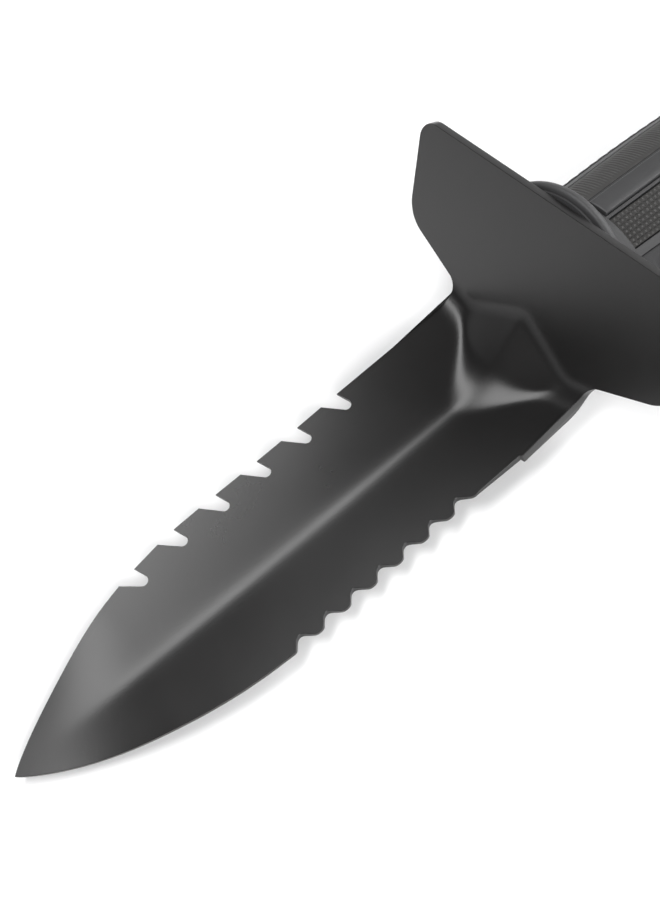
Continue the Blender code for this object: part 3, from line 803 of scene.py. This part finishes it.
LET_IN = {
    # node: start and end angle in degrees, depth below and height over the skin in mm
    "spine_bar_upper": (-8.5, 8.5, -1.6, 1.1),
    "grip_panel_upper_left": (-45, -13, -1.8, -0.2),
    "grip_panel_upper_right": (13, 45, -1.8, -0.2),
    "side_grip_left": (-123, -55, -1.8, 0.3),
    "side_grip_right": (55, 123, -1.8, 0.3),
    "spine_bar_lower": (161, 199, -1.6, 0.9),
    "grip_panel_lower_right": (132, 155, -1.8, -0.2),
    "grip_panel_lower_left": (-155, -132, -1.8, -0.2),
}
LET_IN_START, LET_IN_END = 17.5 * MM, 82.0 * MM


def slab_size(node):
    """Width round the skin, length and thickness of a let-in piece laid flat."""
    first, last, low, high = LET_IN[node]
    arc = sum(
        (skin(math.radians(a + 1), 50 * MM) - skin(math.radians(a), 50 * MM)).length
        for a in range(int(first), int(last))
    )
    return arc, LET_IN_END - LET_IN_START, (high - low) * MM


def wrapped(bm, node):
    """Bends a flat piece onto the grip: X round it, Y along it, Z up from the pocket's floor."""
    first, last, low, _ = LET_IN[node]
    width, length, _ = slab_size(node)
    for vert in bm.verts:
        angle = math.radians(first + (last - first) * (vert.co.x / width + 0.5))
        y = LET_IN_START + vert.co.y + length / 2
        vert.co = skin(angle, y, low * MM + vert.co.z)
    return moved(bm, grip_frame)


# %% [markdown]
# ## Bars and side grips
# The upper bar is a smooth raised rib with a square front end, set in a narrow dark groove. The
# side grips are soft strips with shallow cross ridges. Both start as a block with bevelled edges,
# and are sliced across so that they can bend.


# %% Smooth slabs
def sliced(bm, size, step, axis):
    """Adds cuts across a slab so that it can bend."""
    normal = Vector((0, 0, 0))
    normal[axis] = 1
    count = max(1, round(size / step))
    for k in range(1, count):
        bmesh.ops.bisect_plane(
            bm, geom=bm.verts[:] + bm.edges[:] + bm.faces[:],
            plane_co=normal * (size * (k / count - 0.5)), plane_no=normal,
        )


def smooth_slab(node, edge=0.45 * MM):
    width, length, thick = slab_size(node)
    bm = block((-width / 2, -length / 2, 0), (width / 2, length / 2, thick))
    upper = [e for e in bm.edges if min(v.co.z for v in e.verts) > thick / 2]
    posts = [e for e in bm.edges if abs(e.verts[0].co.z - e.verts[1].co.z) > thick / 2]
    rounded_edges(bm, upper + posts, edge, 3)
    sliced(bm, length, 2.5 * MM, 1)
    sliced(bm, width, 1.5 * MM, 0)
    return bm


def ridged_slab(node, pitch=4.3 * MM, depth=0.45 * MM, fade=4 * MM):
    """A soft strip with rounded ridges across it, which fade at its edges."""
    width, length, thick = slab_size(node)
    bm = block((-width / 2, -length / 2, 0), (width / 2, length / 2, thick))
    upper = [e for e in bm.edges if min(v.co.z for v in e.verts) > thick / 2]
    rounded_edges(bm, upper, 0.5 * MM, 3)
    sliced(bm, length, pitch / 8, 1)
    sliced(bm, width, 1.2 * MM, 0)
    for vert in bm.verts:
        inside = smooth((width / 2 - abs(vert.co.x)) / fade)
        inside *= smooth((length / 2 - abs(vert.co.y)) / fade)
        valley = 0.5 - 0.5 * math.cos(vert.co.y / pitch * 2 * math.pi)
        if vert.co.z > thick - 0.05 * MM:
            vert.co.z -= depth * inside * valley
    return bm


upper_bar = wrapped(smooth_slab("spine_bar_upper"), "spine_bar_upper")
finished("spine_bar_upper", upper_bar, SMOOTH_BAR)
for node in ("side_grip_left", "side_grip_right"):
    finished(node, wrapped(ridged_slab(node), node), RUBBER)

# %% [markdown]
# ## The lower bar
# Three screws clamp the grip from below, through the lower bar. Its holes are cut after it has been
# wrapped, because they run straight in, whatever the skin does.

# %% Lower bar
SCREW_AT = (34.0 * MM, 56.0 * MM, 78.0 * MM)
LANYARD_AT = 90.5 * MM
LANYARD_BORE, LANYARD_TUBE, STUD = 4.5 * MM, 5.6 * MM, 3.0 * MM
HEAD, SHANK = 3.0 * MM, 1.7 * MM


def on_grip(bm):
    return moved(bm, grip_frame)


lower_bar = wrapped(smooth_slab("spine_bar_lower"), "spine_bar_lower")
holes = [on_grip(rod(HEAD + GAP, (0, y, -30 * MM), (0, y, -9 * MM))) for y in SCREW_AT]
finished("spine_bar_lower", carved(lower_bar, holes), SMOOTH_BAR)

# %% [markdown]
# ## Textured panels
# The right panel is checkered: rows of small pyramids with blunt tips that bite into a glove. An
# individual inset with a height makes a blunt pyramid of every cell of a grid. The left panel, for
# the thumb, has fine ribs across it, which come from raising every other row.


# %% Checkering and ribs
def panel_base(node, pitch, rows_per_pitch=1):
    """A thick grid of cells over the panel, its upper cells, and its size."""
    width, length, thick = slab_size(node)
    columns = max(2, round(width / pitch))
    rows = max(2, round(length / pitch * rows_per_pitch))
    bm = bmesh.new()
    bmesh.ops.create_grid(bm, x_segments=columns, y_segments=rows, size=0.5)
    bmesh.ops.scale(bm, verts=bm.verts, vec=(width, length, 1))
    made = bmesh.ops.extrude_face_region(bm, geom=bm.faces[:])
    upper = [g for g in made["geom"] if isinstance(g, bmesh.types.BMVert)]
    bmesh.ops.translate(bm, verts=upper, vec=(0, 0, thick))
    cells = [g for g in made["geom"] if isinstance(g, bmesh.types.BMFace)]
    return bm, cells, width, length


def checkered(node, pitch=1.6 * MM, height=0.6 * MM):
    bm, cells, _, _ = panel_base(node, pitch)
    bmesh.ops.recalc_face_normals(bm, faces=bm.faces)
    for vert in {v for f in cells for v in f.verts}:
        vert.co.z -= height * 0.55
    bmesh.ops.inset_individual(
        bm, faces=cells, thickness=pitch * 0.34, depth=height, use_even_offset=True
    )
    return bm


def ribbed(node, pitch=1.1 * MM, height=0.16 * MM):
    bm, cells, width, length = panel_base(node, pitch, 2)
    rows = round(length / (pitch / 2))
    for vert in {v for f in cells for v in f.verts}:
        row = round((vert.co.y / length + 0.5) * rows)
        inside = abs(vert.co.x) < width / 2 - 0.7 * MM
        if row % 2 and inside:
            vert.co.z += height
    return bm


thumb_panel = wrapped(ribbed("grip_panel_upper_left"), "grip_panel_upper_left")
finished("grip_panel_upper_left", thumb_panel, CHECKERED, sharp=20)
for node in ("grip_panel_upper_right", "grip_panel_lower_left", "grip_panel_lower_right"):
    finished(node, wrapped(checkered(node), node), CHECKERED, sharp=20)

# %% [markdown]
# ## The two grip halves
# Each half is a skin over the parting plane. Its pockets are steps in the height of that skin, so
# the grid puts two lines close together at every pocket's wall. The hollow for the tang, the screw
# holes and the lanyard's hole are cut afterwards.

# %% Grip halves
WALL = 0.12 * MM
TANG_END, WELD_END, WELD_ROOM = 99 * MM, 12 * MM, 7 * MM


def pocket_lift(angle, y):
    """How far the body's skin steps down at an angle in degrees and a distance along the grip."""
    if not LET_IN_START - GAP <= y <= LET_IN_END + GAP:
        return 0.0
    spare = math.degrees(GAP / GRIP_A)
    for first, last, low, _ in LET_IN.values():
        for same in (angle, angle - 360, angle + 360):
            if first - spare <= same <= last + spare:
                return low * MM - GAP
    return 0.0


def line_pairs(stops, low, high, step, wall):
    """Evenly spaced lines from low to high, with a pair either side of each stop."""
    count = round((high - low) / step)
    lines = [low + (high - low) * k / count for k in range(count + 1)]
    lines = [v for v in lines if all(abs(v - stop) > wall * 2 for stop in stops)]
    for stop in stops:
        if low < stop < high:
            lines += [stop - wall / 2, stop + wall / 2]
    return sorted(lines)


def half_skin(side):
    """The outer skin of one half as a closed body that stands on the parting plane."""
    spare = math.degrees(GAP / GRIP_A)
    middle = 0 if side > 0 else 180
    stops = []
    for first, last, _, _ in LET_IN.values():
        stops += [t + k for t in (first - spare, last + spare) for k in (0, 360)]
    round_lines = line_pairs(stops, middle - 89.3, middle + 89.3, 2.0, math.degrees(WALL / GRIP_A))
    ends = [LET_IN_START - GAP, LET_IN_END + GAP]
    long_lines = line_pairs(ends, -14 * MM, GRIP_END, 2.2 * MM, WALL)
    bm = bmesh.new()
    bmesh.ops.create_grid(
        bm, x_segments=len(round_lines) - 1, y_segments=len(long_lines) - 1, size=1.0
    )
    made = bmesh.ops.extrude_face_region(bm, geom=bm.faces[:])
    inner = {g for g in made["geom"] if isinstance(g, bmesh.types.BMVert)}
    for vert in bm.verts:
        angle = round_lines[round((vert.co.x + 1) / 2 * (len(round_lines) - 1))]
        y = long_lines[round((vert.co.y + 1) / 2 * (len(long_lines) - 1))]
        place = skin(math.radians(angle), y, pocket_lift(angle, y))
        if vert in inner:
            place.z = side * GAP / 2
        vert.co = place
    bmesh.ops.recalc_face_normals(bm, faces=bm.faces)
    return halved(bm, *behind_guard(PLATE + GASKET + COLLAR + 3 * GAP))


def hollows(side):
    """What is cut from a half: room for tang, welds, stud, lanyard tube and screws."""
    wide, thick = TANG_HALF + GAP, TANG / 2 + GAP
    cuts = [
        block((-wide, -40 * MM, -thick), (wide, TANG_END + GAP, thick)),
        block((-wide, -40 * MM, -WELD_ROOM), (wide, WELD_END, WELD_ROOM)),
        rod(STUD + GAP, (0, 90 * MM, 0), (0, 120 * MM, 0)),
        rod(LANYARD_TUBE + GAP, (0, LANYARD_AT, -30 * MM), (0, LANYARD_AT, 30 * MM)),
    ]
    for y in SCREW_AT:
        if side > 0:
            cuts.append(rod(3.2 * MM + GAP, (0, y, -1 * MM), (0, y, 9.6 * MM)))
        else:
            cuts.append(rod(2.1 * MM, (0, y, -30 * MM), (0, y, 1 * MM)))
            cuts.append(rod(HEAD + GAP, (0, y, -30 * MM), (0, y, -9.4 * MM)))
    return cuts


for node, side in (("grip_half_upper", 1), ("grip_half_lower", -1)):
    finished(node, on_grip(carved(half_skin(side), hollows(side))), MOULDED)

# %% [markdown]
# ## The butt
# A soft spacer and a flared cap close the grip. The cap has a recess for the stud's nut, and a flat
# underneath that the tool lies on. Oval rings are extruded one after another along the axis, and
# the flat is cut last, level with the floor.


# %% Oval bodies
BUTT_ROUND = 4.4 * MM       # how far the cap's end narrows
SPACER = 2 * MM


def oval(stations, segments=112):
    """A closed body through oval rings (distance along, half width, half height)."""
    bm = bmesh.new()
    bmesh.ops.create_circle(bm, segments=segments, radius=1.0, cap_ends=True)
    bmesh.ops.rotate(bm, verts=bm.verts, matrix=Matrix.Rotation(math.pi / 2, 3, "X"))
    rings = [bm.verts[:]]
    cap = bm.faces[:]
    for _ in stations[1:]:
        made = bmesh.ops.extrude_face_region(bm, geom=cap)
        old, cap = cap, [g for g in made["geom"] if isinstance(g, bmesh.types.BMFace)]
        if len(rings) > 1:
            bmesh.ops.delete(bm, geom=old, context="FACES_ONLY")
        rings.append([g for g in made["geom"] if isinstance(g, bmesh.types.BMVert)])
    for ring, (y, a, b) in zip(rings, stations):
        for vert in ring:
            vert.co = Vector((vert.co.x * a, y, vert.co.z * b))
    return bm


def rolled(y0, y1, a, b, radius, steps=4):
    """Stations for an oval disc with rounded edges."""
    turn = [math.pi / 2 * k / steps for k in range(steps + 1)]
    near = [(y0 + radius * (1 - math.sin(t)), math.cos(t) - 1) for t in reversed(turn)]
    far = [(y1 - radius * (1 - math.sin(t)), math.cos(t) - 1) for t in turn]
    return [(y, a + radius * drop, b + radius * drop) for y, drop in near + far]


def butt_stations(start, a, b):
    """The cap's rings: a flare out, a straight band, and a rounded end."""
    rings = [(start, a + 0.2 * MM, b + 0.2 * MM), (start + 0.3 * MM, a + 0.6 * MM, b + 0.6 * MM)]
    for k in range(1, 9):
        t = smooth(k / 8)
        rings.append((start + 3 * MM * k / 8, a + (0.6 + 1.8 * t) * MM, b + (0.6 + 2.0 * t) * MM))
    rings.append((start + 8 * MM, a + 2.4 * MM, b + 2.6 * MM))
    band = BUTT_END - start - 8 * MM
    for k in range(1, 13):
        t = k / 12
        drop = BUTT_ROUND * (1 - math.sqrt(1 - (0.985 * t) ** 2))
        rings.append((start + 8 * MM + band * t, a + 2.4 * MM - drop, b + 2.6 * MM - drop))
    return rings


# %% Spacer and cap
end_a, end_b = GRIP_A * swell(GRIP_END), GRIP_B * swell(GRIP_END)
spacer_start = GRIP_END + GAP
cap_start = spacer_start + SPACER + GAP
stud_room = rod(STUD + GAP, (0, 90 * MM, 0), (0, 130 * MM, 0))
spacer = oval(rolled(
    spacer_start, spacer_start + SPACER, end_a + 0.6 * MM, end_b + 0.6 * MM, 0.4 * MM
))
finished("butt_spacer", on_grip(carved(spacer, [stud_room.copy()])), RUBBER)
seat = rod(7.8 * MM, (0, BUTT_END - 6 * MM, 0), (0, BUTT_END + 9 * MM, 0), 64)
cap = carved(oval(butt_stations(cap_start, end_a, end_b)), [stud_room, seat])
cap = halved(on_grip(cap), Vector((0, 0, 0)), Vector((0, 0, -1)))
finished("butt_cap", cap, MOULDED)

# %% [markdown]
# ## Fasteners
# The screws have low round heads with a hexagon socket. The nut is a chamfered hexagon on a plain
# washer, and the lanyard tube has rolled lips. A bevel on the sharp rims of a cylinder makes them
# all, with the sockets and bores cut by Booleans.


# %% Fastener helpers
def rim_edges(bm, angle=60):
    bm.normal_update()
    return [e for e in bm.edges if e.is_manifold and e.calc_face_angle() > math.radians(angle)]


def turned(radius, start, end, rim, sides=64):
    """A cylinder along one axis with both rims rounded."""
    bm = rod(radius, start, end, sides)
    rounded_edges(bm, rim_edges(bm), rim, 3)
    return bm


# %% Screws
for k, y in enumerate(SCREW_AT):
    head = turned(HEAD, (0, y, -12.6 * MM), (0, y, -9.7 * MM), 0.5 * MM)
    screw = carved(head, [rod(SHANK, (0, y, -10.5 * MM), (0, y, 8.0 * MM))], "UNION")
    socket = rod(1.5 * MM, (0, y, -14 * MM), (0, y, -11 * MM), 6)
    finished(f"grip_screw_{k + 1}", on_grip(carved(screw, [socket])), STEEL)

# %% Lanyard tube
tube = turned(LANYARD_TUBE, (0, LANYARD_AT, -14.9 * MM), (0, LANYARD_AT, 14.9 * MM), 0.5 * MM)
bore = rod(LANYARD_BORE, (0, LANYARD_AT, -20 * MM), (0, LANYARD_AT, 20 * MM), 64)
finished("lanyard_tube", on_grip(carved(tube, [bore])), STEEL)

# %% Washer and nut
WASHER, NUT = 6.8 * MM, 5.77 * MM     # radii, the nut's at its corners
washer = turned(WASHER, (0, BUTT_END - 5.7 * MM, 0), (0, BUTT_END - 4.5 * MM, 0), 0.25 * MM)
hole = rod(STUD + GAP, (0, 90 * MM, 0), (0, 130 * MM, 0))
finished("stud_washer", on_grip(carved(washer, [hole.copy()])), STEEL)
nut_low, nut_high = (0, BUTT_END - 4.2 * MM, 0), (0, BUTT_END - 0.8 * MM, 0)
nut = rod(NUT, nut_low, nut_high, 6)
round_off = turned(NUT, nut_low, nut_high, 0.7 * MM)
nut = carved(carved(nut, [round_off], "INTERSECT"), [hole])
finished("stud_nut", on_grip(nut), STEEL)

# %% [markdown]
# ## Pieces inside the grip
# The tang, its two weld beads and the screws' inserts keep their CAD solids, because the grip hides
# them. They still get their own finishes, for anyone who takes the tool apart.

# %% Finishes for the CAD nodes that stay
INSIDE = {"tang": TANG_STEEL, "weld_bead_upper": WELD, "weld_bead_lower": WELD}
INSIDE.update({f"screw_insert_{k}": BRASS for k in (1, 2, 3)})
for node, mat in INSIDE.items():
    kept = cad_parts[node]
    kept.data.materials.clear()
    kept.data.materials.append(mat)
print("kept from the frame:", sorted(INSIDE))
